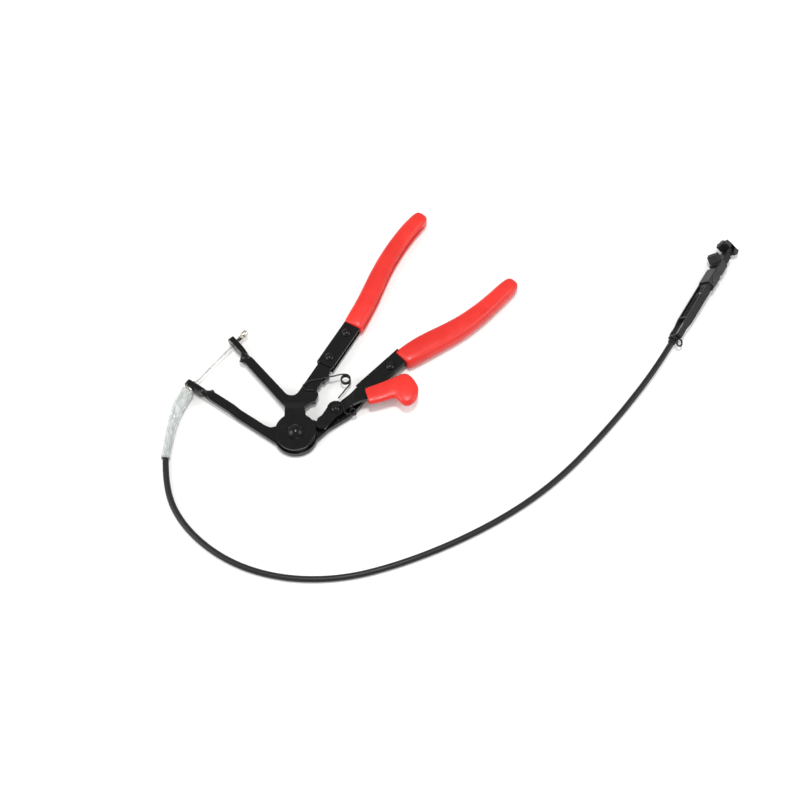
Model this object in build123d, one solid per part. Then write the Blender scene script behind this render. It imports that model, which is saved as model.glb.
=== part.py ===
"""Cable-operated pliers for spring-band hose clamps.

Two stamped levers turn on one rivet. Squeezing the dipped handles spreads their far arms,
which pulls a wire through a long flexible casing and closes two swivel jaws at the remote head.
Millimetres, +Z up, the tool lying flat. Plan positions are measured from the pliers' pivot.
"""

import math
import os

from build123d import *

os.makedirs("parts", exist_ok=True)

# Where the pliers' pivot stands in the part's frame
PIVOT_X = -140.174
PIVOT_Y = -98.37

# Lever plates
PLATE = 5.0
MID_BOTTOM = 5.3
UPPER_DISC_BOTTOM = 7.9
LOWER_DISC_BOTTOM = 2.7
UPPER_DISC_R = 16.4
LOWER_DISC_R = 17.8
PIVOT_D = 9.0
RUN_GAP = 0.05

# Folded handle channels
SHEET = 1.5
CHANNEL_BOTTOM = 3.8
CHANNEL_TOP = 11.8
GRIP_BOTTOM = 0.0
GRIP_TOP = 15.6
RIVET_D = 5.0

# Ratchet pawl
PAWL_X = 31.5
PAWL_Y = 21.0
PAWL_BOTTOM = 8.6
PAWL_T = 3.5
PAWL_RISE = 5.0
TOOTH_PITCH_DEG = 3.5
TOOTH_DEPTH = 0.9

# Cable
CASING_D = 5.0
CASING_BORE = 2.6
WIRE_D = 1.8
EYE_A = (-54.0, 84.0)
EYE_B = (-86.0, 44.0)
EYE_Z = MID_BOTTOM + PLATE / 2

# Head, measured along its own axis from the casing's end
HEAD_X = 312.3
HEAD_Y = 88.8
HEAD_Z = 7.8
HEAD_HEADING = 58.0
HEAD_ROLL = -52.0
FORK_INNER = 3.9
FORK_OUTER = 5.2
FORK_HALF_H = 3.5
FORK_END = 66.5
CHAN_HALF_W = 6.4
CHAN_HALF_H = 4.0
CHAN_SHEET = 1.2
CHAN_START = 62.3
CHAN_END = 89.0
NEAR_PIN = 87.2
END_PIN = 105.6


def save(shape, name):
    """Stand a piece in the part's frame and write it"""
    export_step(Pos(PIVOT_X, PIVOT_Y, 0) * shape, "parts/" + name + ".step")
    print(name, "volume", round(shape.volume), "solids", len(shape.solids()))


def slab(points, bottom, top, corner=0.6, wide=()):
    """A flat piece with its plan corners rounded, a few of them wider"""
    face = make_face(Polyline(*points, close=True))
    for x, y, r in wide:
        face = fillet(face.vertices().sort_by_distance((x, y))[:1], r)
    if corner > 0:
        sharp = [v for v in face.vertices() if any(math.dist((v.X, v.Y), p) < 0.01 for p in points)]
        face = fillet(sharp, corner)
    return Pos(0, 0, bottom) * extrude(face, top - bottom)


def post(x, y, r, bottom, top):
    """An upright round bar"""
    return Pos(x, y, bottom) * extrude(Circle(r), top - bottom)


def dome(x, y, r, base, rise):
    """A rivet's rounded head standing on height base, pointing down if rise is negative"""
    ball_r = (r * r + rise * rise) / (2 * abs(rise))
    if rise > 0:
        cap = Pos(x, y, base + rise - ball_r) * Sphere(ball_r)
        keep = Pos(x, y, base + abs(rise) / 2) * Box(3 * r, 3 * r, abs(rise))
    else:
        cap = Pos(x, y, base + rise + ball_r) * Sphere(ball_r)
        keep = Pos(x, y, base - abs(rise) / 2) * Box(3 * r, 3 * r, abs(rise))
    return cap & keep


def joggled(points, heading, start, run, low, high, corner=0.6, wide=()):
    """A plate that steps from height low to height high on its way along heading"""
    side = [
        (-90, low),
        (start, low),
        (start + run, high),
        (240, high),
        (240, high + PLATE),
        (start + run, high + PLATE),
        (start, low + PLATE),
        (-90, low + PLATE),
    ]
    profile = Plane.XZ * make_face(Polyline(*side, close=True))
    sheet = Rot(0, 0, heading) * Pos(0, 150, 0) * extrude(profile, 300)
    return slab(points, -5, 25, corner, wide) & sheet


def bar_between(x0, y0, z0, x1, y1, z1, r):
    """A straight round bar between two points"""
    path = Line((x0, y0, z0), (x1, y1, z1))
    return sweep(Plane(origin=path @ 0, z_dir=path % 0) * Circle(r), path=path)


def tube(path, outer, inner=0.0):
    """A round tube, or a solid cord, along a path"""
    start = Plane(origin=path @ 0, z_dir=path % 0)
    body = sweep(start * Circle(outer / 2), path=path)
    if inner > 0:
        body = body - sweep(start * Circle(inner / 2), path=path)
    return body


def corner_radii(points):
    """An even bend at each corner of a path"""
    radii = []
    for a, b, c in zip(points, points[1:], points[2:]):
        first = Vector(*b) - Vector(*a)
        second = Vector(*c) - Vector(*b)
        turn = math.radians(first.get_angle(second))
        radii.append(0.45 * min(first.length, second.length) / math.tan(turn / 2))
    return radii


def soft_path(points):
    """A cord's path through hand-placed corners"""
    radii = corner_radii(points)
    print("  bend radii", [round(r) for r in radii])
    return FilletPolyline(*points, radius=radii)


# ---------------------------------------------------------------- levers


def ratchet_gaps():
    """The notches between the ratchet's teeth on the upper disc"""
    gaps = []
    count = 26
    for i in range(count):
        angle = -50 + i * TOOTH_PITCH_DEG
        notch = Polyline(
            (UPPER_DISC_R - TOOTH_DEPTH, 0),
            (UPPER_DISC_R + 0.5, 0),
            (UPPER_DISC_R + 0.5, 0.95),
            close=True,
        )
        wedge = Pos(0, 0, UPPER_DISC_BOTTOM - 1) * extrude(make_face(notch), PLATE + 2)
        gaps.append(Rot(0, 0, angle) * wedge)
    return gaps


def end_plate(x, y, heading, length, half_h):
    """The last stretch of an arm, on edge and round-ended, from its start at x, y"""
    strip = Pos(length / 2, 0, 0) * Box(length, PLATE - 0.4, 2 * half_h)
    strip = fillet(strip.edges().filter_by(Axis.Y).sort_by(Axis.X)[2:], 4.2)
    return Pos(x, y, EYE_Z) * Rot(0, 0, heading) * strip


def arm_twist(x, y, heading, length, width, end_h, side):
    """A quarter turn that stands a flat arm on edge, one long edge kept in line"""
    along = Vector(math.cos(math.radians(heading)), math.sin(math.radians(heading)), 0)
    across = Vector(-along.Y * side, along.X * side, 0)
    sections = []
    steps = 6
    for i in range(-1, steps + 2):
        t = min(max(i / steps, 0), 1)
        turn = math.radians(90 * (3 * t * t - 2 * t * t * t))
        w = width + (end_h - width) * t - 0.12
        h = PLATE - 0.4 * t - 0.12
        inset = w / 2 * math.cos(turn) + h / 2 * math.sin(turn) + 0.06
        centre = Vector(x, y, EYE_Z) + along * (length * i / steps) + across * inset
        edge_way = across * math.cos(turn) - Vector(0, 0, 1) * math.sin(turn)
        sections.append(Plane(origin=centre, x_dir=edge_way, z_dir=along) * Rectangle(w, h))
    return loft(sections, ruled=True)


def wire_hole(x, y, r):
    """A hole through an eye along the wire"""
    heading = math.degrees(math.atan2(EYE_A[1] - EYE_B[1], EYE_A[0] - EYE_B[0]))
    return Pos(x, y, EYE_Z) * Rot(0, 0, heading) * Rot(0, 90, 0) * Cylinder(r, 14)


def lever_a():
    arm = [
        (-9.2, 4),
        (-9.4, 23),
        (-44.1, 64),
        (-38.4, 69),
        (-3.7, 29.1),
        (15.9, 63),
        (39.4, 103.4),
        (49.4, 97.8),
        (26.0, 57.2),
        (25.2, 51.8),
        (21.6, 46.8),
        (19.6, 46.4),
        (17.6, 42.4),
        (16.2, 40.8),
        (15.8, 37.6),
        (17.2, 34.8),
        (14.9, 28.2),
        (11.4, 27.6),
        (6.4, 22.6),
        (9, 8),
    ]
    body = joggled(arm, 90, 20.5, 6.5, UPPER_DISC_BOTTOM, MID_BOTTOM, 0.5, [(-3.7, 29.1, 6.6)])
    disc = post(0, 0, UPPER_DISC_R, UPPER_DISC_BOTTOM, UPPER_DISC_BOTTOM + PLATE)
    for gap in ratchet_gaps():
        disc = disc - gap
    body = body + disc
    body = body + arm_twist(-38.4, 68.95, 130.7, 12, 7.6, 10, 1)
    body = body + end_plate(-47.5, 76.0, 130.7, 16.4, 5.0)
    body = body - post(0, 0, PIVOT_D / 2 + RUN_GAP, 0, 20)
    body = body - wire_hole(EYE_A[0], EYE_A[1], 2.0)
    body = body - on_channel_a(post(0, 0, RIVET_D / 2, 0, 20))
    body = body - on_channel_a(post(27, 0, RIVET_D / 2, 0, 20))
    return body


def lever_b():
    left = [
        (-12, 8),
        (-20.6, 5.8),
        (-24.6, 7.5),
        (-66.9, 36.3),
        (-71.1, 30.2),
        (-13.9, -9.6),
    ]
    right = [
        (8, -15),
        (17.5, -4.6),
        (26.3, 4.5),
        (43.1, 16.0),
        (49.5, 23.6),
        (57.0, 33.2),
        (83.4, 60.8),
        (75.2, 68.9),
        (48.4, 41.3),
        (36.5, 31.0),
        (27, 21.6),
        (19, 11),
        (6, 15),
    ]
    body = joggled(left, 145.8, 49, 7, LOWER_DISC_BOTTOM, MID_BOTTOM, 0.6, [(-20.6, 5.8, 3)])
    body = body + joggled(right, 45.8, 56, 6.5, LOWER_DISC_BOTTOM, MID_BOTTOM, 0.6, [(26.3, 4.5, 9)])
    body = body + post(0, 0, LOWER_DISC_R, LOWER_DISC_BOTTOM, LOWER_DISC_BOTTOM + PLATE)
    body = body + arm_twist(-71.06, 30.2, 145.8, 11, 7.3, 10, -1)
    body = body + end_plate(-78.7, 38.2, 145.8, 15.4, 5.0)
    body = body - post(0, 0, PIVOT_D / 2, 0, 20)
    body = body - post(PAWL_X, PAWL_Y, RIVET_D / 2, 0, 20)
    body = body - wire_hole(EYE_B[0], EYE_B[1], 2.9)
    body = body - on_channel_b(post(0, 0, RIVET_D / 2, 0, 20))
    body = body - on_channel_b(post(25, 0, RIVET_D / 2, 0, 20))
    return body


def pivot_rivet():
    top = UPPER_DISC_BOTTOM + PLATE + 0.1 + 0.9
    shank = post(0, 0, PIVOT_D / 2, LOWER_DISC_BOTTOM, top)
    return shank + dome(0, 0, 6.5, top, 3.4) + dome(0, 0, 7.5, LOWER_DISC_BOTTOM, -2.4)


def pivot_washer():
    bottom = UPPER_DISC_BOTTOM + PLATE + 0.1
    return post(0, 0, 7.2, bottom, bottom + 0.9) - post(0, 0, PIVOT_D / 2, 0, 20)


# ---------------------------------------------------------------- handles


def on_channel_a(shape):
    """From the upper channel's own line to the plan"""
    return Pos(25.4, 68.9, 0) * Rot(0, 0, 60) * shape


def on_channel_b(shape):
    """From the lower channel's own line to the plan"""
    return Pos(57.9, 42.4, 0) * Rot(0, 0, 45.8) * shape


def folded_channel(start, end, half_w, web_side):
    """A U of sheet: web along one edge, open along the other"""
    length = end - start
    outer = Pos((start + end) / 2, 0, (CHANNEL_BOTTOM + CHANNEL_TOP) / 2) * Box(
        length, 2 * half_w, CHANNEL_TOP - CHANNEL_BOTTOM
    )
    web_edges = outer.edges().filter_by(Axis.X).sort_by(Axis.Y)
    web_edges = web_edges[2:] if web_side > 0 else web_edges[:2]
    outer = fillet(web_edges, 2.2)
    hollow = Pos((start + end) / 2, -web_side * SHEET, MID_BOTTOM + PLATE / 2) * Box(
        length + 2, 2 * half_w, PLATE
    )
    return outer - hollow


def handle_channel_a():
    body = folded_channel(-7.8, 50, 7.6, 1)
    body = body - post(0, 0, RIVET_D / 2, 0, 20) - post(27, 0, RIVET_D / 2, 0, 20)
    return on_channel_a(body)


def handle_channel_b():
    body = folded_channel(-7.6, 41, 7.2, -1)
    body = body - slab([(-8, -8), (-3, -8), (-8, -3)], 0, 20, 0)
    body = body - post(0, 0, RIVET_D / 2, 0, 20) - post(25, 0, RIVET_D / 2, 0, 20)
    return on_channel_b(body)


def channel_rivets(pitch, first_rise):
    """Two domed rivets through a channel and its lever"""
    pair = []
    for x, rise in ((0, first_rise), (pitch, 2.4)):
        pin = post(x, 0, RIVET_D / 2, CHANNEL_BOTTOM, CHANNEL_TOP)
        pin = pin + dome(x, 0, 4.2, CHANNEL_TOP, rise)
        pair.append(pin + dome(x, 0, 4.2, CHANNEL_BOTTOM, -2.2))
    return pair[0] + pair[1]


def grip_blank(outer, inner):
    """A dipped grip's solid form between its two long edges"""
    near = Line(inner[0], outer[0])
    edge_out = Spline(*outer)
    edge_in = Spline(*inner)
    tip = Line(outer[-1], inner[-1])
    face = make_face([near, edge_out, tip, edge_in])
    body = Pos(0, 0, GRIP_BOTTOM) * extrude(face, GRIP_TOP - GRIP_BOTTOM)
    reach = (Vector(*outer[-1]) + Vector(*inner[-1])) / 2
    uprights = body.edges().filter_by(Axis.Z).sort_by_distance((reach.X, reach.Y, 8))
    body = fillet(uprights[:2], 5.4)
    rims = body.faces().filter_by(Axis.Z).edges()
    rims = rims.sort_by_distance(((near @ 0.5).X, (near @ 0.5).Y, 8))[2:]
    return fillet(rims, 3.2)


def grip_a():
    outer = [(36.4, 103.4), (48.5, 129.5), (61.4, 162), (79.6, 194.3), (97.4, 216.4)]
    inner = [(50.9, 95.2), (64.8, 124.5), (76.4, 157), (91.8, 185.6), (108.0, 208.4)]
    body = grip_blank(outer, inner)
    slot = [(53.7, 90.5), (58.6, 129), (70.5, 160.5), (86, 189), (97, 196), (84, 150), (66, 110)]
    body = body - slab(slot, MID_BOTTOM, MID_BOTTOM + PLATE, 0)
    core = Pos(21, 0, 7.8) * Box(60, 15.2, 8)
    return body - on_channel_a(core)


def grip_b():
    outer = [(91.4, 60.8), (120.3, 78.2), (140.2, 91.8), (158.6, 108.8), (184.8, 138)]
    inner = [(79.4, 73.4), (98.6, 89.2), (124.6, 103.2), (147.8, 120.4), (175.0, 147.4)]
    body = grip_blank(outer, inner)
    slot = [(75, 76), (104, 84.6), (128, 97.6), (151, 114.6), (166, 129), (160, 140), (100, 100)]
    body = body - slab(slot, MID_BOTTOM, MID_BOTTOM + PLATE, 0)
    core = Pos(17, 0, 7.8) * Box(48, 14.4, 8)
    return body - on_channel_b(core)


# ---------------------------------------------------------------- pawl and springs


def pawl():
    shape = [
        (15.9, 5.1),
        (17.2, 12),
        (20.5, 14.5),
        (27, 25.5),
        (36, 26.5),
        (50, 35.5),
        (68, 40.5),
        (84, 43),
        (86, 33),
        (68, 29.5),
        (52, 25.5),
        (38, 18.5),
        (33, 14.5),
        (23.4, 2.6),
        (18.4, 3.2),
    ]
    side = [
        (0, PAWL_BOTTOM),
        (40.5, PAWL_BOTTOM),
        (47.5, PAWL_BOTTOM + PAWL_RISE),
        (120, PAWL_BOTTOM + PAWL_RISE),
        (120, PAWL_BOTTOM + PAWL_RISE + PAWL_T),
        (46.5, PAWL_BOTTOM + PAWL_RISE + PAWL_T),
        (39.5, PAWL_BOTTOM + PAWL_T),
        (0, PAWL_BOTTOM + PAWL_T),
    ]
    profile = Plane.XZ * make_face(Polyline(*side, close=True))
    body = slab(shape, 0, 25, 0.3) & (Pos(0, 150, 0) * extrude(profile, 300))
    body = body + post(PAWL_X, PAWL_Y, 6.8, PAWL_BOTTOM, PAWL_BOTTOM + PAWL_T)
    return body - post(PAWL_X, PAWL_Y, RIVET_D / 2 + RUN_GAP, 0, 25)


def pawl_grip():
    """A dipped grip with a fat end for the thumb"""
    neck = [(55.5, 36), (70, 43), (82, 48), (84, 27.5), (74, 28.5), (58.5, 23.5)]
    body = slab(neck, 12.8, 18.4, 2.0)
    body = fillet(body.faces().sort_by(Axis.Z)[-1].edges(), 1.8)
    knob = Pos(88, 38.6, 14.6) * scale(Sphere(1), (10.6, 13.6, 5.6))
    knob = knob & (Pos(88, 38.6, 14.6) * Box(40, 40, 10.4))
    blade = pawl_blade()
    return body + knob - blade


def pawl_blade():
    """The pawl's end, as the hollow it fills in its grip"""
    blade = slab([(40, 20), (50, 35.5), (68, 40.5), (84, 43), (86, 33), (68, 29.5), (52, 25.5)],
                 PAWL_BOTTOM + PAWL_RISE, PAWL_BOTTOM + PAWL_RISE + PAWL_T, 0.3)
    return blade


def pawl_rivet():
    top = PAWL_BOTTOM + PAWL_T + 0.1
    pin = post(PAWL_X, PAWL_Y, RIVET_D / 2, LOWER_DISC_BOTTOM, top)
    return pin + dome(PAWL_X, PAWL_Y, 4.4, top, 2.6) + dome(PAWL_X, PAWL_Y, 4.4, LOWER_DISC_BOTTOM, -2.0)


def pawl_washer():
    bottom = LOWER_DISC_BOTTOM + PLATE
    ring = post(PAWL_X, PAWL_Y, 5.0, bottom, bottom + 0.7)
    return ring - post(PAWL_X, PAWL_Y, RIVET_D / 2, 0, 20)


def bent_wire(points, radius, wire):
    """A wire bent evenly at each corner"""
    path = FilletPolyline(*points, radius=radius)
    return tube(path, wire)


def torsion_spring(centre, pitch, turns, r, wire, upper, lower, bend):
    """A coil about +Z with a leg leaving its top and one leaving its foot"""
    path = Pos(*centre) * Helix(pitch=pitch, height=pitch * turns, radius=r)
    start = Plane(origin=path @ 0, z_dir=path % 0)
    wound = sweep(start * Circle(wire / 2), path=path, is_frenet=True)
    up = [path @ 1, path @ 1 + (path % 1) * 3] + upper
    down = [path @ 0, path @ 0 - (path % 0) * 2.6] + lower
    return wound + bent_wire(up, bend, wire) + bent_wire(down, bend, wire)


def handle_spring():
    """The torsion spring that opens the handles, with its two legs"""
    upper = [(9, 46.4, 11.0), (4.2, 42.4, 11.0), (6.6, 38.4, 11.0), (13.5, 38, 11.0)]
    lower = [(33.2, 33.2, 6.2)]
    return torsion_spring((39, 49.3, 6.25), 1.4, 3.25, 3.65, 1.2, upper, lower, 1.3)


def pawl_spring():
    """The small torsion spring that holds the pawl against the teeth"""
    upper = [(39.4, 16.2, 12.7), (37.7, 22.4, 12.6)]
    lower = [(42.6, 17.0, 8.25)]
    return torsion_spring((45.5, 19.4, 8.35), 1.0, 2.5, 2.3, 0.9, upper, lower, 0.8)


# ---------------------------------------------------------------- cable at the pliers


def pull_wire():
    """The bare wire from the upper lever's eye into the lower lever's"""
    heading = math.atan2(EYE_A[1] - EYE_B[1], EYE_A[0] - EYE_B[0])
    ahead = 9.0
    behind = 18.5
    x0 = EYE_B[0] - behind * math.cos(heading)
    y0 = EYE_B[1] - behind * math.sin(heading)
    x1 = EYE_A[0] + ahead * math.cos(heading)
    y1 = EYE_A[1] + ahead * math.sin(heading)
    return bar_between(x0, y0, EYE_Z, x1, y1, EYE_Z, WIRE_D / 2)


def wire_end_fitting():
    """The turned nipple swaged on the wire beyond the upper eye"""
    heading = math.degrees(math.atan2(EYE_A[1] - EYE_B[1], EYE_A[0] - EYE_B[0]))
    neck = Pos(0, 0, 3.0) * extrude(Circle(1.6), 8.5)
    head = Pos(0, 0, 10.0) * extrude(Circle(2.8), 5.0)
    head = fillet(head.edges(), 1.1)
    body = neck + head - Cylinder(WIRE_D / 2, 18)
    return Pos(EYE_A[0], EYE_A[1], EYE_Z) * Rot(0, 0, heading) * Rot(0, 90, 0) * body


def ferrule_frame(shape):
    """From the ferrule's own line, which runs down the sleeve, to the plan"""
    return Pos(EYE_B[0], EYE_B[1], EYE_Z) * Rot(0, 0, 234.5) * Rot(0, 90, 0) * shape


def cable_ferrule():
    """The turned ferrule that seats in the lower eye"""
    body = Pos(0, 0, 3.8) * extrude(Circle(3.9), 1.3)
    body = body + Pos(0, 0, 4.9) * extrude(Circle(2.8), 6.6)
    body = body + Pos(0, 0, -3.4) * extrude(Circle(2.2), 7.4)
    return ferrule_frame(body - Pos(0, 0, -5) * extrude(Circle(1.9), 24))


SLEEVE = [(-89.6, 39.2, 7.8), (-97.0, 25, 7.3), (-101.2, 4, 5.2), (-103.4, -20, 3.9)]


def cable_sleeve():
    """A clear sleeve, wide over the ferrule and close on the casing below"""
    path = soft_path(SLEEVE)
    outer = []
    inner = []
    for t, r in ((0.0, 5.3), (0.2, 5.2), (0.45, 4.5), (0.7, 3.75), (1.0, 3.75)):
        plane = Plane(origin=path @ t, z_dir=path % t)
        outer.append(plane * Circle(r))
        inner.append(plane * Circle(r - 0.75))
    return loft(outer) - loft(inner)


def cable_liner():
    """The bare wound core of the casing, seen inside the clear sleeve"""
    path = soft_path([(-98.1, 19.5, 6.75), (-101.2, 4, 5.2), (-103.2, -16.4, 4.1)])
    return tube(path, 3.6, CASING_BORE)


CASING = [
    (-103.3, -17.4, 4.05),
    (-101.9, -46, 2.7),
    (-84, -79, 2.7),
    (-50, -106.5, 2.7),
    (-8, -120.5, 2.7),
    (38, -121, 2.7),
    (82, -109.5, 2.7),
    (130, -89.5, 2.7),
    (175, -64, 2.7),
    (212, -35, 2.7),
    (244, -1, 2.7),
    (271, 30.6, 2.7),
    (297.8, 65.2, 7.8),
    (311.8, 87.95, 7.8),
]


def cable_casing():
    path = soft_path(CASING)
    print("casing length", round(path.length, 1))
    return tube(path, CASING_D, CASING_BORE)


def inner_wire():
    """The wire's long middle stretch, which stays inside the casing"""
    points = CASING[:-1] + [(304.6, 76.3, 7.8)]
    return tube(FilletPolyline(*points, radius=corner_radii(CASING)), WIRE_D)


# ---------------------------------------------------------------- head


def on_head(shape):
    """From the head's own axes to the plan: X along it, Z out of its closed face"""
    return Pos(HEAD_X, HEAD_Y, HEAD_Z) * Rot(0, 0, HEAD_HEADING) * Rot(HEAD_ROLL, 0, 0) * shape


def rod(x0, x1, r):
    """A round bar along the head"""
    return Pos(x0, 0, 0) * Rot(0, 90, 0) * extrude(Circle(r), x1 - x0)


def block(x0, x1, y0, y1, z0, z1):
    """A square block by its limits"""
    return Pos((x0 + x1) / 2, (y0 + y1) / 2, (z0 + z1) / 2) * Box(x1 - x0, y1 - y0, z1 - z0)


def head_socket():
    body = rod(-5.2, 0.7, 3.1) + rod(0.6, 3.2, 2.0)
    body = body - rod(-6, -0.9, CASING_D / 2) - rod(-1.5, 4, CASING_BORE / 2)
    return on_head(body)


def wire_clip():
    """A spring-wire clip: one loop round the socket, one standing out beside it"""
    round_loop = Pos(-1.4, 0, 0) * Rot(0, 90, 0) * Torus(3.85, 0.75)
    side_loop = Pos(-2.0, -4.4, -3.6) * Rot(90, 0, 0) * Torus(2.9, 0.75)
    return on_head(round_loop + side_loop)


def head_fork():
    """A strap bent to a U, its two legs running either side of the spring"""
    outline_out = block(0.7, FORK_END, -FORK_OUTER, FORK_OUTER, -FORK_HALF_H, FORK_HALF_H)
    outline_out = fillet(outline_out.edges().filter_by(Axis.Z).sort_by(Axis.X)[:2], 3.6)
    outline_in = block(2.1, FORK_END + 1, -FORK_INNER, FORK_INNER, -5, 5)
    outline_in = fillet(outline_in.edges().filter_by(Axis.Z).sort_by(Axis.X)[:2], 2.2)
    body = outline_out - outline_in
    low = [(0, -2.8), (12, -2.4), (19, -3.5), (59, -3.5), (61.5, -2.7), (FORK_END, -2.7)]
    side = low + [(x, -z) for x, z in reversed(low)]
    profile = Plane.XZ * make_face(Polyline(*side, close=True))
    body = body & (Pos(0, 10, 0) * extrude(profile, 20))
    for side in (-1, 1):
        y0 = min(side * FORK_INNER, side * FORK_OUTER)
        y1 = max(side * FORK_INNER, side * FORK_OUTER)
        end = Pos(FORK_END, y1, 0) * Rot(90, 0, 0) * extrude(Circle(2.7), y1 - y0)
        body = body + end
    body = body - Pos(FORK_END, 10, 0) * Rot(90, 0, 0) * extrude(Circle(1.5), 20)
    ear = slab([(3.2, 4.9), (3.8, 7.5), (8.2, 5.1), (8.2, 4.9)], -0.8, 0.8, 0)
    return on_head(body + ear - rod(-1, 3, 2.0))


def spring_seat():
    body = block(20.6, 22.2, -FORK_INNER, FORK_INNER, -3.3, 3.3)
    return on_head(body - rod(20, 23, CASING_BORE / 2))


def return_spring():
    """The spring that opens the jaws"""
    wire = 1.2
    turns = 12.0
    path = Helix(pitch=28.2 / turns, height=28.2, radius=3.0)
    start = Plane(origin=path @ 0, z_dir=path % 0)
    wound = sweep(start * Circle(wire / 2), path=path, is_frenet=True)
    return on_head(Pos(22.9, 0, 0) * Rot(0, 90, 0) * wound)


def head_channel():
    body = block(CHAN_START, CHAN_END, -CHAN_HALF_W, CHAN_HALF_W, -CHAN_HALF_H, CHAN_HALF_H)
    inner_w = CHAN_HALF_W - CHAN_SHEET
    body = fillet(body.edges().filter_by(Axis.X).sort_by(Axis.Z)[2:], 1.3)
    body = fillet(body.edges().filter_by(Axis.Y).sort_by(Axis.Z)[:2], 2.2)
    body = body - block(50, 100, -inner_w, inner_w, -8, CHAN_HALF_H - CHAN_SHEET)
    body = body - Pos(75, 10, -4.5) * Rot(90, 0, 0) * extrude(Circle(1.7), 20)
    body = body - block(78.2, 83, -inner_w, 8, 1.6, 8)
    body = body + block(60.4, 62.4, 5.2, 6.4, 1.6, 3.0) + block(58.6, 63, -6.4, -5.2, -3.9, -2.7)
    body = body - Pos(FORK_END, 10, 0) * Rot(90, 0, 0) * extrude(Circle(1.5), 20)
    body = body - Pos(NEAR_PIN, 0, 0) * extrude(Circle(1.5), 8)
    return on_head(body)


def fork_rivets():
    """The two rivets that hold the strap's legs to the channel"""
    pins = []
    for side in (0, 180):
        pin = Rot(90, 0, 0) * extrude(Circle(1.5), CHAN_HALF_W - FORK_INNER)
        pin = Pos(0, -FORK_INNER, 0) * pin
        head = Pos(0, -CHAN_HALF_W, 0) * Rot(90, 0, 0) * extrude(Circle(2.3), 0.8)
        pins.append(Pos(FORK_END, 0, 0) * Rot(0, 0, side) * (pin + head))
    return on_head(pins[0] + pins[1])


def slider_bar():
    """The bar that the wire draws back through the channel"""
    body = block(57.6, 78.5, -3.1, 3.1, -3.4, 2.6)
    wide = block(78.4, 98.2, -5.1, 5.1, -3.8, 2.6)
    body = body + fillet(wide.edges().filter_by(Axis.X), 0.7)
    body = body + rod(52.2, 57.8, 2.9)
    tongue = block(98.1, 108.6, -3.1, 3.1, -2.2, 2.2)
    body = body + fillet(tongue.edges().filter_by(Axis.Z).sort_by(Axis.X)[2:], 3.0)
    body = body - Pos(END_PIN, 0, -3) * extrude(Circle(1.75), 6)
    return on_head(body - rod(50, 61, 2.2))


def wire_crimp():
    return on_head(rod(45.5, 60.9, 2.2) - rod(45, 59, WIRE_D / 2))


def head_wire():
    return on_head(rod(1.0, 58.8, WIRE_D / 2))


def near_jaw():
    """The leaning jaw that bears on one ear of the clamp and swivels to meet it"""
    side = [(-3.2, 4.6), (-0.2, 10.6), (3.4, 10.6), (3.4, 4.6)]
    profile = Plane.XZ * make_face(Polyline(*side, close=True))
    body = Pos(0, 5.1, 0) * extrude(profile, 10.2)
    body = body + Pos(0, 0, 4.1) * extrude(Circle(2.7), 0.6)
    body = body - Pos(0, 0, 3) * extrude(Circle(1.55), 3.7)
    return on_head(Pos(NEAR_PIN, 0, 0) * Rot(0, 0, 8) * body)


def near_jaw_pin():
    body = Pos(0, 0, 2.8) * extrude(Circle(1.5), 3.8)
    return on_head(Pos(NEAR_PIN, 0, 0) * body)


def end_jaw():
    """The hooked swivel jaw at the slider's end"""
    side = [
        (-3.0, -5.2),
        (3.8, -5.2),
        (3.2, 3.6),
        (1.6, 8.8),
        (-3.9, 8.8),
        (-3.9, 8.0),
        (-3.0, 6.8),
    ]
    profile = Plane.XZ * make_face(Polyline(*side, close=True))
    body = Pos(0, 5.2, 0) * extrude(profile, 10.4)
    lip = [(-2.4, -5.0), (3.8, -5.0), (5.0, -7.3), (-0.8, -7.3)]
    profile = Plane.XZ * make_face(Polyline(*lip, close=True))
    body = body + Pos(0, -1.6, 0) * extrude(profile, 3.6)
    body = body - block(-6, 3.2, -9, 9, -2.4, 2.4)
    body = body - Pos(0, 0, -12) * extrude(Circle(1.75), 24)
    return on_head(Pos(END_PIN, 0, 0) * Rot(0, 0, 16) * body)


def end_jaw_pin():
    body = Pos(0, 0, -5.0) * extrude(Circle(1.7), 13.9)
    body = body + Pos(0, 0, 8.9) * extrude(Circle(2.5), 0.7)
    return on_head(Pos(END_PIN, 0, 0) * body)


save(lever_a(), "lever_a")
save(lever_b(), "lever_b")
save(pivot_rivet(), "pivot_rivet")
save(pivot_washer(), "pivot_washer")
save(handle_channel_a(), "handle_channel_a")
save(handle_channel_b(), "handle_channel_b")
save(on_channel_a(channel_rivets(27, 2.4)), "handle_rivets_a")
save(on_channel_b(channel_rivets(25, 0.8)), "handle_rivets_b")
save(grip_a(), "grip_a")
save(grip_b(), "grip_b")
save(pawl(), "pawl")
save(pawl_grip(), "pawl_grip")
save(pawl_rivet(), "pawl_rivet")
save(pawl_washer(), "pawl_washer")
save(handle_spring(), "handle_spring")
save(pawl_spring(), "pawl_spring")
save(pull_wire(), "pull_wire")
save(wire_end_fitting(), "wire_end_fitting")
save(cable_ferrule(), "cable_ferrule")
save(cable_sleeve(), "cable_sleeve")
save(cable_liner(), "cable_liner")
save(cable_casing(), "cable_casing")
save(inner_wire(), "inner_wire")
save(head_socket(), "head_socket")
save(wire_clip(), "wire_clip")
save(head_fork(), "head_fork")
save(spring_seat(), "spring_seat")
save(return_spring(), "return_spring")
save(head_channel(), "head_channel")
save(fork_rivets(), "fork_rivets")
save(slider_bar(), "slider_bar")
save(wire_crimp(), "wire_crimp")
save(head_wire(), "head_wire")
save(near_jaw(), "near_jaw")
save(near_jaw_pin(), "near_jaw_pin")
save(end_jaw(), "end_jaw")
save(end_jaw_pin(), "end_jaw_pin")
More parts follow.
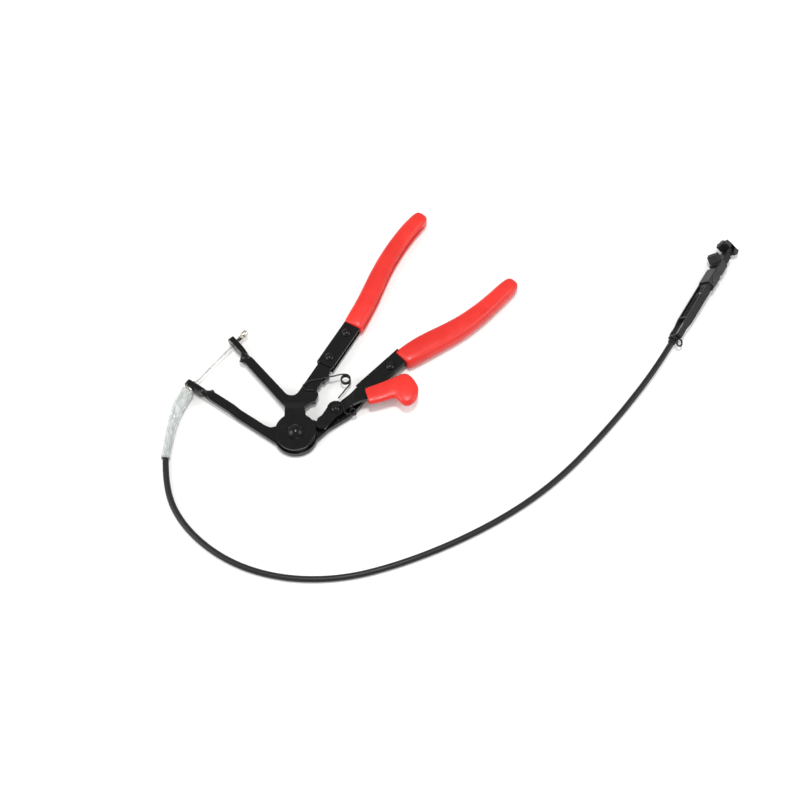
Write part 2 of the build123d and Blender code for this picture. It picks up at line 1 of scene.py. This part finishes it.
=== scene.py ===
# %% [markdown]
# # Cable pliers for hose clamps
# This lesson dresses a finished mechanical model. The levers, rivets, springs and jaws come from the
# frame and stay where they are. What the frame can't show well is made here: the long black cable, its
# clear sleeve, the dipped vinyl grips and the twisted strands of the wire. Everything is in metres.

# %% Load the frame
import math

import bmesh
import bpy
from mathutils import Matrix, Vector


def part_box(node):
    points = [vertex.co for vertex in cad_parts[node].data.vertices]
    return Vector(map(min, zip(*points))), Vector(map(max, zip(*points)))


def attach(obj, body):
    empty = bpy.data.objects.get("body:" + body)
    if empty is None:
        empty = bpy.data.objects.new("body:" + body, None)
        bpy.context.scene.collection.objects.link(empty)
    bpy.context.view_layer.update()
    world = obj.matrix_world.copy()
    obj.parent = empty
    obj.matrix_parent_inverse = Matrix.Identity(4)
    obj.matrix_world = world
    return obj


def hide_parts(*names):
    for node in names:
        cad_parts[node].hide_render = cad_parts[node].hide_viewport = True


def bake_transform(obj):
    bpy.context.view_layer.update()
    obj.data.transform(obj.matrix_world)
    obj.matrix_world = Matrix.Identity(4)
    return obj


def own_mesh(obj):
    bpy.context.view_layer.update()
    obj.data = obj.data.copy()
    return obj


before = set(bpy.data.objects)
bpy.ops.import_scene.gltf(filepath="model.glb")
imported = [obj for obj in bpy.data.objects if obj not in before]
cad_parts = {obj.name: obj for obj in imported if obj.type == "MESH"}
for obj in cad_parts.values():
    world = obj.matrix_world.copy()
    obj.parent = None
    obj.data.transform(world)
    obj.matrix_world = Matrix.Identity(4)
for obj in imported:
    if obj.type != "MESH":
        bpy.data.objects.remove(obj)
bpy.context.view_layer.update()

# %% [markdown]
# All the plan positions of the tool are easiest to read from its pivot rivet, so one helper turns
# millimetres from the pivot into metres in the scene.

# %% Measure from the pivot
low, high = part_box("pivot_rivet")
pivot_x = (low[0] + high[0]) / 2
pivot_y = (low[1] + high[1]) / 2


def from_pivot(x, y, z):
    return Vector((pivot_x + x / 1000, pivot_y + y / 1000, z / 1000))


print("pivot at", round(pivot_x, 4), round(pivot_y, 4))

# %% [markdown]
# The camera stands a metre away and looks down steeply, as a person does at a tool on a bench. Its aim is
# a point on the bench near the middle of the cable's curve.

# %% Place the camera
aim = from_pivot(83.5, 34.9, 0)
distance = 1.025
tilt = math.radians(62)
camera_data = bpy.data.cameras.new("bench_camera")
camera_data.lens = 56.25
camera_data.sensor_width = 36
camera = bpy.data.objects.new("bench_camera", camera_data)
camera.location = aim + distance * Vector((0, -math.cos(tilt), math.sin(tilt)))
camera.rotation_euler = (math.radians(90) - tilt, 0, 0)
bpy.context.scene.collection.objects.link(camera)
bpy.context.scene.camera = camera
print("camera at", [round(v, 3) for v in camera.location])

# %% [markdown]
# The outer cable is a smooth black casing that holds its own gentle curve on the bench. A curve object
# suits it: a few given control points, a round bevel, and the line between them stays smooth.

# %% Lay the cable
def route_curve(name, points, thickness, sides=6):
    data = bpy.data.curves.new(name, "CURVE")
    data.dimensions = "3D"
    data.resolution_u = 16
    data.bevel_depth = 1
    data.bevel_resolution = sides
    data.use_fill_caps = True
    spline = data.splines.new("NURBS")
    spline.points.add(len(points) - 1)
    for point, place in zip(spline.points, points):
        point.co = (*from_pivot(*place), 1)
        point.radius = thickness / 2
    spline.order_u = 3
    spline.use_endpoint_u = True
    piece = bpy.data.objects.new(name, data)
    bpy.context.scene.collection.objects.link(piece)
    return piece


cable_route = [
    (-103.3, -17.4, 4.05), (-101.9, -46, 2.7), (-84, -79, 2.7), (-50, -106.5, 2.7), (-8, -120.5, 2.7),
    (38, -121, 2.7), (82, -109.5, 2.7), (130, -89.5, 2.7), (175, -64, 2.7), (212, -35, 2.7),
    (244, -1, 2.7), (271, 30.6, 2.7), (297.8, 65.2, 7.8), (311.8, 87.95, 7.8),
]
casing = route_curve("casing_skin", cable_route, 0.005)
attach(casing, "lower_side")
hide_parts("cable_casing", "inner_wire")
print("cable points:", len(cable_route))

# %% [markdown]
# The grips, the sleeve and the wires all share one way of building: a ring of points is set at a first
# station, then pulled along from station to station, so that neighbouring rings are joined by a band of
# four-sided faces. A whole-number layer remembers each point's seat in its ring.

# %% Skin a row of rings
def skin_rings(name, rings, closed_ends=True, smooth=0):
    sheet = bmesh.new()
    seat = sheet.verts.layers.int.new("seat")
    points = [sheet.verts.new(place) for place in rings[0]]
    for index, point in enumerate(points):
        point[seat] = index
    front = [sheet.edges.new((a, b)) for a, b in zip(points, points[1:] + points[:1])]
    first = list(front)
    for ring in rings[1:]:
        grown = bmesh.ops.extrude_edge_only(sheet, edges=front)["geom"]
        for item in grown:
            if isinstance(item, bmesh.types.BMVert):
                item.co = ring[item[seat]]
        moved = {item for item in grown if isinstance(item, bmesh.types.BMVert)}
        front = [item for item in grown
                 if isinstance(item, bmesh.types.BMEdge) and all(v in moved for v in item.verts)]
    if closed_ends:
        bmesh.ops.holes_fill(sheet, edges=first + front, sides=0)
    bmesh.ops.recalc_face_normals(sheet, faces=sheet.faces)
    for face in sheet.faces:
        face.smooth = True
    mesh = bpy.data.meshes.new(name)
    sheet.to_mesh(mesh)
    sheet.free()
    piece = bpy.data.objects.new(name, mesh)
    bpy.context.scene.collection.objects.link(piece)
    if smooth:
        rounding = piece.modifiers.new("rounding", "SUBSURF")
        rounding.levels = smooth
        rounding.render_levels = smooth
    return piece


def soft_route(points, count):
    """Evenly counted places and directions on the smooth line that a route of given points makes."""
    stops = [Vector(p) for p in points]
    arcs = []
    for i in range(1, len(stops) - 1):
        start = stops[0] if i == 1 else (stops[i - 1] + stops[i]) / 2
        end = stops[-1] if i == len(stops) - 2 else (stops[i] + stops[i + 1]) / 2
        arcs.append((start, stops[i], end))
    places = []
    for k in range(count + 1):
        t = k / count * len(arcs)
        i = min(int(t), len(arcs) - 1)
        u = t - i
        a, b, c = arcs[i]
        place = a * (1 - u) ** 2 + b * 2 * u * (1 - u) + c * u ** 2
        places.append((place, ((b - a) * (1 - u) + (c - b) * u).normalized()))
    return places


def round_ring(place, ahead, radius, sides, turn=0.0):
    side = ahead.cross(Vector((0, 0, 1))).normalized()
    up = side.cross(ahead)
    ring = []
    for k in range(sides):
        angle = math.tau * k / sides
        r = radius(angle) if callable(radius) else radius
        ring.append(from_pivot(*(place + (side * math.cos(angle + turn) + up * math.sin(angle + turn)) * r)))
    return ring


print("ring helpers ready")

# %% [markdown]
# Both handles wear dipped vinyl grips. Each grip follows two long edges traced in plan. Its ring has
# fourteen seats, and on the side that faces the other handle two of them are pushed in for the long slit.

# %% Dip the handle grips
slit_depth = 0.55  # how far across the grip the floor of the slit lies
ring_seats = [
    (0.0, 0.30), (0.0, 0.72), (0.13, 0.97), (0.5, 1.0), (0.87, 0.97), (1.0, 0.78), (1.0, 0.655),
    (slit_depth, 0.63), (slit_depth, 0.385), (1.0, 0.36), (1.0, 0.24), (0.87, 0.03), (0.5, 0.0), (0.13, 0.03),
]


def on_edge(points, t):
    stops = [Vector((*p, 0)) for p in points]
    stops = [stops[0] * 2 - stops[1]] + stops + [stops[-1] * 2 - stops[-2]]
    t = t * (len(points) - 1)
    i = min(max(int(t), 0), len(points) - 2)
    u = t - i
    a, b, c, d = stops[i:i + 4]
    return (b * 2 + (c - a) * u + (a * 2 - b * 5 + c * 4 - d) * u ** 2
            + (b * 3 - a - c * 3 + d) * u ** 3) / 2


def grip_ring(outer, inner, t, width, low_z, high_z, slit):
    a, b = on_edge(outer, t), on_edge(inner, t)
    middle = (a + b) / 2
    a, b = middle + (a - middle) * width, middle + (b - middle) * width
    ring = []
    for across, rise in ring_seats:
        if across == slit_depth:
            across = 1 - (1 - across) * slit
        place = a + (b - a) * across
        ring.append(from_pivot(place.x, place.y, low_z + (high_z - low_z) * rise))
    return ring


grip_stations = [
    (0.0, 0.90, 2.2, 13.4, 0.04), (0.004, 0.97, 1.5, 14.1, 0.04), (0.022, 1.03, 0.7, 14.9, 0.06),
    (0.06, 1.04, 0.3, 15.3, 0.5), (0.12, 1.02, 0.1, 15.5, 1.0), (0.24, 1.0, 0.0, 15.6, 1.0),
    (0.38, 1.0, 0.0, 15.6, 1.0), (0.52, 1.0, 0.0, 15.6, 1.0), (0.66, 1.0, 0.0, 15.6, 1.0),
    (0.79, 1.0, 0.0, 15.6, 1.0), (0.87, 1.01, 0.0, 15.6, 0.9), (0.91, 1.02, 0.0, 15.6, 0.10),
    (0.955, 1.0, 0.2, 15.4, 0.03), (0.982, 0.92, 0.8, 14.8, 0.03), (1.0, 0.72, 2.2, 13.4, 0.03),
    (1.008, 0.40, 4.6, 11.0, 0.03),
]


def dipped_grip(name, outer, inner, body, node):
    rings = [grip_ring(outer, inner, *station) for station in grip_stations]
    grip = skin_rings(name, rings, smooth=2)
    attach(grip, body)
    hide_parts(node)
    return grip


outer_a = [(36.4, 103.4), (48.5, 129.5), (61.4, 162), (79.6, 194.3), (97.9, 217.2)]
inner_a = [(51.3, 95.0), (65.2, 124.2), (76.9, 156.7), (92.2, 185.3), (108.7, 209.0)]
outer_b = [(91.4, 60.8), (120.3, 78.2), (140.2, 91.8), (158.6, 108.8), (185.6, 138.7)]
inner_b = [(79.4, 73.4), (98.6, 89.2), (124.6, 103.2), (147.8, 120.4), (175.7, 148.2)]
vinyl_a = dipped_grip("vinyl_grip_a", outer_a, inner_a, "upper_side", "grip_a")
vinyl_b = dipped_grip("vinyl_grip_b", outer_b, inner_b, "lower_side", "grip_b")
print("grips:", vinyl_a.name, vinyl_b.name)

# %% [markdown]
# The pawl's grip is a flat neck that swells to a broad thumb piece. Its rings run from the neck to the
# outer end, each between two edge points, with its own underside and crown.

# %% Dip the pawl's grip
thumb_seats = [(0.0, 0.5), (0.03, 0.8), (0.2, 0.97), (0.5, 1.0), (0.8, 0.97), (0.97, 0.8), (1.0, 0.5),
               (0.97, 0.2), (0.8, 0.03), (0.5, 0.0), (0.2, 0.03), (0.03, 0.2)]
thumb_stations = [
    ((54.9, 35.6), (58.6, 24.2), 12.9, 18.2), ((55.0, 37.0), (58.8, 22.6), 12.6, 18.5),
    ((59.5, 38.9), (63.0, 23.4), 12.6, 18.6), ((69.5, 43.0), (71.0, 25.4), 12.4, 18.8),
    ((76.5, 46.4), (77.5, 28.4), 12.0, 19.0), ((81.0, 48.6), (81.4, 28.2), 11.2, 19.3),
    ((86.0, 51.6), (84.4, 23.0), 10.2, 19.7), ((90.6, 50.8), (88.6, 21.0), 9.8, 19.8),
    ((94.6, 46.2), (93.0, 22.6), 10.0, 19.6), ((97.6, 40.6), (96.4, 26.6), 11.0, 18.8),
    ((98.8, 37.2), (98.0, 30.2), 12.4, 17.2),
]
thumb_rings = []
for near, far, low_z, high_z in thumb_stations:
    ring = []
    for across, rise in thumb_seats:
        x = near[0] + (far[0] - near[0]) * across
        y = near[1] + (far[1] - near[1]) * across
        ring.append(from_pivot(x, y, low_z + (high_z - low_z) * rise))
    thumb_rings.append(ring)
thumb_grip = skin_rings("vinyl_pawl_grip", thumb_rings, smooth=2)
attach(thumb_grip, "pawl_arm")
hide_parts("pawl_grip")
print("thumb grip rings:", len(thumb_rings))

# %% [markdown]
# The clear sleeve is wide over the ferrule and narrows to hug the casing. Heat has left it slightly rippled.
# It has two skins, an outer and an inner, drawn as one row of rings that turns back on itself.

# %% Shrink the clear sleeve
sleeve_steps = 40
sleeve_line = soft_route([(-89.6, 39.2, 7.8), (-97.0, 25, 7.3), (-101.2, 4, 5.2), (-103.4, -20, 3.9)], sleeve_steps)


def sleeve_radius(t):
    marks = [(0.0, 5.25), (0.2, 5.2), (0.45, 4.5), (0.7, 3.8), (1.0, 3.75)]
    for (t0, r0), (t1, r1) in zip(marks, marks[1:]):
        if t <= t1:
            break
    u = (t - t0) / (t1 - t0)
    ripple = 0.10 * math.sin(t * 47) * math.sin(t * math.pi) + 0.05 * math.sin(t * 101 + 1)
    return r0 + (r1 - r0) * u * u * (3 - 2 * u) + ripple


sleeve_rings = []
for thin, order in ((0.0, range(sleeve_steps + 1)), (0.7, range(sleeve_steps, -1, -1))):
    for k in order:
        place, ahead = sleeve_line[k]
        base = sleeve_radius(k / sleeve_steps) - thin
        sleeve_rings.append(round_ring(place, ahead, lambda a: base * (1 + 0.018 * math.sin(2 * a + k * 0.23)), 24))
sleeve_rings.append(sleeve_rings[0])
sleeve = skin_rings("clear_sleeve_skin", sleeve_rings, closed_ends=False)
join = bmesh.new()
join.from_mesh(sleeve.data)
bmesh.ops.remove_doubles(join, verts=join.verts, dist=1e-6)
bmesh.ops.recalc_face_normals(join, faces=join.faces)
join.to_mesh(sleeve.data)
join.free()
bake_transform(sleeve)
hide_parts("cable_sleeve")
print("sleeve rings:", len(sleeve_rings))

# %% [markdown]
# The pull wire is laid from strands, so its section is lobed and turns as it goes. The same lobed ring
# makes the short stretch in the head. The casing's bare core, seen in the sleeve, is a close winding.

# %% Twist the wires
# One full turn of the strands takes 9 mm
strand_pitch = 9


def strand_wire(name, start, end, body, node):
    run = Vector(end) - Vector(start)
    count = int(run.length / 0.7)
    rings = []
    for k in range(count + 1):
        place = Vector(start) + run * (k / count)
        turn = math.tau * k * run.length / count / strand_pitch
        rings.append(round_ring(place, run.normalized(), lambda a: 0.78 + 0.12 * math.cos(6 * a), 24, turn))
    wire = skin_rings(name, rings)
    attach(wire, body)
    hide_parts(node)
    return wire


eye_a, eye_b = Vector((-54.0, 84.0, 7.8)), Vector((-86.0, 44.0, 7.8))
wire_way = (eye_a - eye_b).normalized()
pull_strands = strand_wire("pull_wire_strands", eye_b - wire_way * 18.5, eye_a + wire_way * 9,
                           "pull_wire_end", "pull_wire")
head_at = Vector((312.3, 88.8, 7.8))
head_way = Vector((math.cos(math.radians(58)), math.sin(math.radians(58)), 0))
head_strands = strand_wire("head_wire_strands", head_at + head_way * 1.0, head_at + head_way * 58.8,
                           "slider", "head_wire")

liner_line = soft_route([(-98.1, 19.5, 6.75), (-101.2, 4, 5.2), (-103.2, -16.4, 4.1)], 120)
liner_rings = [round_ring(place, ahead, 1.72 + 0.13 * math.cos(math.tau * k / 4), 18)
               for k, (place, ahead) in enumerate(liner_line)]
liner = skin_rings("wound_core", liner_rings)
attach(liner, "lower_side")
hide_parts("cable_liner")
print("wires twisted")

# %% [markdown]
# The head's spring is squeezed when the wire draws the slider back, so it is wound here as its own piece.

# %% Wind the head's spring
head_side = Vector((-math.sin(math.radians(58)), math.cos(math.radians(58)), 0))
spring_turns, spring_length, spring_seats = 12, 28.2, 288
spring_rings = []
for k in range(spring_seats + 1):
    turn = math.tau * spring_turns * k / spring_seats
    out = head_side * math.cos(turn) + Vector((0, 0, 1)) * math.sin(turn)
    around = Vector((0, 0, 1)) * math.cos(turn) - head_side * math.sin(turn)
    place = head_at + head_way * (22.9 + spring_length * k / spring_seats) + out * 3
    ahead = (around * 3 * math.tau * spring_turns + head_way * spring_length).normalized()
    across = ahead.cross(out).normalized()
    spring_rings.append([from_pivot(*(place + (out * math.cos(a) + across * math.sin(a)) * 0.6))
                         for a in [math.tau * i / 10 for i in range(10)]])
head_spring = skin_rings("head_spring", spring_rings)
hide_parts("return_spring")
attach(head_spring, "lower_side")
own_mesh(head_spring)
print("head spring turns:", spring_turns)

# %% [markdown]
# A turned nipple is swaged on the wire beyond the upper eye: a tapered neck, two rings and a domed head.
# It's one profile, spun round its own line.

# %% Turn the nipple
def turned(name, profile, start, way, body, node):
    rings = []
    for at, radius in profile:
        rings.append(round_ring(start + way * at, way, radius, 32))
    piece = skin_rings(name, rings)
    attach(piece, body)
    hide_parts(node)
    return piece


nipple_profile = [(3.0, 1.35), (3.2, 1.6), (6.4, 1.9), (6.5, 2.3), (7.2, 2.35), (7.3, 1.95), (9.4, 2.0), (9.6, 2.7),
                  (10.0, 2.9), (13.6, 2.9), (14.1, 2.75), (14.6, 2.2), (14.9, 1.3), (15.0, 0.4)]
nipple = turned("turned_nipple", nipple_profile, eye_a, wire_way, "pull_wire_end", "wire_end_fitting")
print("nipple spun")

# %% [markdown]
# Most finishes here start the same way: one Principled shader with a plain colour, a roughness and, for
# metal, metallic set to 1. Fine surface detail is then added with a noise that feeds the Bump node.

# %% Start a finish
def start_finish(name, colour, roughness, metallic=0.0):
    finish = bpy.data.materials.new(name)
    finish.use_nodes = True
    tree = finish.node_tree
    shader = tree.nodes["Principled BSDF"]
    shader.inputs["Base Color"].default_value = (*colour, 1)
    shader.inputs["Roughness"].default_value = roughness
    shader.inputs["Metallic"].default_value = metallic
    place = tree.nodes.new("ShaderNodeTexCoord")
    return finish, tree, shader, place.outputs["Object"]


def noise(tree, place, scale, detail=3.0, roughness=0.55):
    node = tree.nodes.new("ShaderNodeTexNoise")
    node.inputs["Scale"].default_value = scale
    node.inputs["Detail"].default_value = detail
    node.inputs["Roughness"].default_value = roughness
    tree.links.new(place, node.inputs["Vector"])
    return node.outputs["Fac"]


def bump(tree, height, strength, distance, under=None):
    node = tree.nodes.new("ShaderNodeBump")
    node.inputs["Strength"].default_value = strength
    node.inputs["Distance"].default_value = distance
    tree.links.new(height, node.inputs["Height"])
    if under is not None:
        tree.links.new(under, node.inputs["Normal"])
    return node.outputs["Normal"]


def ramp(tree, value, stops):
    node = tree.nodes.new("ShaderNodeValToRGB")
    node.color_ramp.elements[0].position = stops[0][0]
    node.color_ramp.elements[0].color = (*stops[0][1], 1)
    node.color_ramp.elements[1].position = stops[-1][0]
    node.color_ramp.elements[1].color = (*stops[-1][1], 1)
    for at, colour in stops[1:-1]:
        node.color_ramp.elements.new(at).color = (*colour, 1)
    tree.links.new(value, node.inputs["Fac"])
    return node.outputs["Color"]


def spread(tree, value, low_value, high_value, from_low=0.0, from_high=1.0):
    node = tree.nodes.new("ShaderNodeMapRange")
    node.inputs["From Min"].default_value = from_low
    node.inputs["From Max"].default_value = from_high
    node.inputs["To Min"].default_value = low_value
    node.inputs["To Max"].default_value = high_value
    tree.links.new(value, node.inputs["Value"])
    return node.outputs["Result"]


def soften_edges(tree, radius):
    node = tree.nodes.new("ShaderNodeBevel")
    node.samples = 6
    node.inputs["Radius"].default_value = radius
    return node.outputs["Normal"]


print("finish helpers ready")

# %% [markdown]
# The stamped levers and the folded channels wear a glossy black lacquer. It pools a little at the edges and
# has a faint orange peel, so the reflections waver. A dark colour that isn't pure black keeps its form.

# %% Black lacquer
def black_lacquer(name, peel, gloss):
    finish, tree, shader, place = start_finish(name, (0.004, 0.004, 0.0045), gloss)
    mottled = noise(tree, place, 95, 4)
    tree.links.new(ramp(tree, mottled, [(0.3, (0.0015, 0.0015, 0.0018)), (0.75, (0.004, 0.004, 0.0045))]),
                   shader.inputs["Base Color"])
    tree.links.new(spread(tree, noise(tree, place, 240, 3), gloss - 0.05, gloss + 0.09, 0.3, 0.7),
                   shader.inputs["Roughness"])
    shader.inputs["Specular IOR Level"].default_value = 0.26
    rounded = soften_edges(tree, 0.0006)
    tree.links.new(bump(tree, noise(tree, place, 700, 2), peel, 0.0001, rounded), shader.inputs["Normal"])
    return finish


lacquer = black_lacquer("lever_lacquer", 0.06, 0.15)
channel_lacquer = black_lacquer("channel_lacquer", 0.04, 0.14)
print(lacquer.name, channel_lacquer.name)

# %% [markdown]
# Dipped vinyl is soft and a little uneven. A slow noise shifts its red between two close tones, a middling
# one changes how glossy it is, and a fine one gives the skin its faint grain.

# %% Red vinyl
red_vinyl, tree, shader, place = start_finish("red_vinyl", (0.62, 0.018, 0.012), 0.34)
shader.inputs["Specular IOR Level"].default_value = 0.42
tree.links.new(ramp(tree, noise(tree, place, 28, 3), [(0.3, (0.56, 0.013, 0.008)), (0.72, (0.70, 0.026, 0.017))]),
               shader.inputs["Base Color"])
tree.links.new(spread(tree, noise(tree, place, 130, 4), 0.26, 0.46, 0.3, 0.7), shader.inputs["Roughness"])
broad = bump(tree, noise(tree, place, 60, 2), 0.25, 0.0006)
tree.links.new(bump(tree, noise(tree, place, 1500, 3), 0.08, 0.0001, broad), shader.inputs["Normal"])
print(red_vinyl.name)

# %% [markdown]
# The sleeve is clear plastic, so most light passes through it. Long streaks come from a noise stretched
# along the sleeve, and the same noise bumps the surface into faint creases.

# %% Clear sleeve
clear_vinyl, tree, shader, place = start_finish("clear_sleeve", (0.86, 0.89, 0.88), 0.22)
shader.inputs["Transmission Weight"].default_value = 0.72
shader.inputs["IOR"].default_value = 1.38
stretch = tree.nodes.new("ShaderNodeMapping")
stretch.inputs["Scale"].default_value = (1.0, 0.12, 1.0)
tree.links.new(place, stretch.inputs["Vector"])
streaks = noise(tree, stretch.outputs["Vector"], 330, 2)
tree.links.new(ramp(tree, streaks, [(0.30, (0.72, 0.76, 0.75)), (0.66, (0.94, 0.96, 0.95))]),
               shader.inputs["Base Color"])
tree.links.new(spread(tree, streaks, 0.14, 0.40, 0.3, 0.7), shader.inputs["Roughness"])
tree.links.new(bump(tree, streaks, 0.14, 0.0003), shader.inputs["Normal"])
print(clear_vinyl.name)

# %% [markdown]
# Every node of the frame wears a finish. One helper makes a plain metal or oxide from a colour and a
# roughness, and another puts a finish in every material slot of a node. The meshes stay as they are.

# %% Plain metals and oxides
def plain_metal(name, colour, roughness, metallic=1.0, grain=400, depth=0.08, edge=0.0003):
    finish, tree, shader, place = start_finish(name, colour, roughness, metallic)
    shader.inputs["Specular IOR Level"].default_value = 0.28
    fine = noise(tree, place, grain, 4)
    darker = tuple(c * 0.72 for c in colour)
    lighter = tuple(min(c * 1.25, 1) for c in colour)
    tree.links.new(ramp(tree, noise(tree, place, grain / 4, 3), [(0.3, darker), (0.72, lighter)]),
                   shader.inputs["Base Color"])
    tree.links.new(spread(tree, fine, roughness - 0.07, roughness + 0.12, 0.3, 0.7), shader.inputs["Roughness"])
    tree.links.new(bump(tree, fine, depth, 0.0001, soften_edges(tree, edge)), shader.inputs["Normal"])
    return finish


dark_wire = plain_metal("dark_spring_wire", (0.03, 0.03, 0.032), 0.3, 0.8)
bright_wire = plain_metal("bright_steel_wire", (0.50, 0.50, 0.48), 0.32, depth=0.12)
nickel_plate = plain_metal("nickel_plate", (0.62, 0.58, 0.52), 0.2)
casing_cover = plain_metal("casing_cover", (0.010, 0.010, 0.011), 0.33, 0.0)
oxide_black = plain_metal("head_oxide", (0.012, 0.012, 0.013), 0.34, 0.3)
oxide_grey = plain_metal("head_grey_steel", (0.045, 0.045, 0.047), 0.4, 0.6)
jaw_dark = plain_metal("jaw_dark_steel", (0.022, 0.022, 0.024), 0.42, 0.6)

# %% [markdown]
# A table pairs each finish with the pieces that wear it.

# %% Dress the pieces
def dress(finish, *nodes):
    for node in nodes:
        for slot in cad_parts[node].material_slots:
            slot.material = finish


dress(lacquer, "lever_a", "lever_b", "pawl", "pawl_rivet", "pawl_washer", "pivot_rivet", "pivot_washer",
      "handle_rivets_a", "handle_rivets_b")
dress(channel_lacquer, "handle_channel_a", "handle_channel_b")
dress(red_vinyl, "grip_a", "grip_b", "pawl_grip")
dress(dark_wire, "handle_spring", "pawl_spring", "return_spring", "wire_clip")
dress(bright_wire, "pull_wire", "head_wire", "cable_liner")
dress(nickel_plate, "wire_end_fitting", "cable_ferrule", "wire_crimp")
dress(oxide_black, "head_fork", "head_socket", "spring_seat", "slider_bar")
dress(oxide_grey, "head_channel", "fork_rivets", "near_jaw_pin", "end_jaw_pin")
dress(jaw_dark, "near_jaw", "end_jaw")
dress(clear_vinyl, "cable_sleeve")
for piece, finish in ((casing, casing_cover), (vinyl_a, red_vinyl), (vinyl_b, red_vinyl), (thumb_grip, red_vinyl),
                      (sleeve, clear_vinyl), (pull_strands, bright_wire), (head_strands, bright_wire),
                      (liner, bright_wire), (nipple, nickel_plate), (head_spring, dark_wire)):
    piece.data.materials.append(finish)
print("finishes:", len(bpy.data.materials))

# %% [markdown]
# The tool lies on a wide white bench in even daylight. Two large soft lamps keep the shadows faint, and a
# smaller one overhead gives the rivet domes their crisp points of light.

# %% Stage and lights
def area_lamp(name, place, target, size, power):
    data = bpy.data.lights.new(name, "AREA")
    data.shape = "SQUARE"
    data.size = size
    data.energy = power
    lamp = bpy.data.objects.new(name, data)
    lamp.location = place
    lamp.rotation_euler = (Vector(target) - Vector(place)).to_track_quat("-Z", "Y").to_euler()
    bpy.context.scene.collection.objects.link(lamp)
    return lamp


floor_sheet = bmesh.new()
bmesh.ops.create_grid(floor_sheet, x_segments=1, y_segments=1, size=3)
floor_mesh = bpy.data.meshes.new("bench_top")
floor_sheet.to_mesh(floor_mesh)
floor_sheet.free()
floor = bpy.data.objects.new("bench_top", floor_mesh)
bpy.context.scene.collection.objects.link(floor)
floor_finish, _, _, _ = start_finish("bench_white", (0.9, 0.9, 0.89), 0.9)
floor_mesh.materials.append(floor_finish)

world = bpy.data.worlds.new("studio_air")
bpy.context.scene.world = world
world.use_nodes = True
air = world.node_tree.nodes["Background"]
air.inputs["Color"].default_value = (1, 1, 1, 1)
air.inputs["Strength"].default_value = 0.62
area_lamp("window_left", (-1.7, -0.5, 1.2), (0, 0, 0), 1.4, 22)
area_lamp("window_right", (1.7, -0.4, 1.2), (0, 0, 0), 1.4, 16)
area_lamp("small_overhead", (-0.05, -0.12, 1.5), (0, 0, 0), 0.2, 11)
bpy.context.scene.view_settings.view_transform = "Standard"

# %% [markdown]
# Last, the view layer is brought up to date.

# %% Finish
bpy.context.view_layer.update()
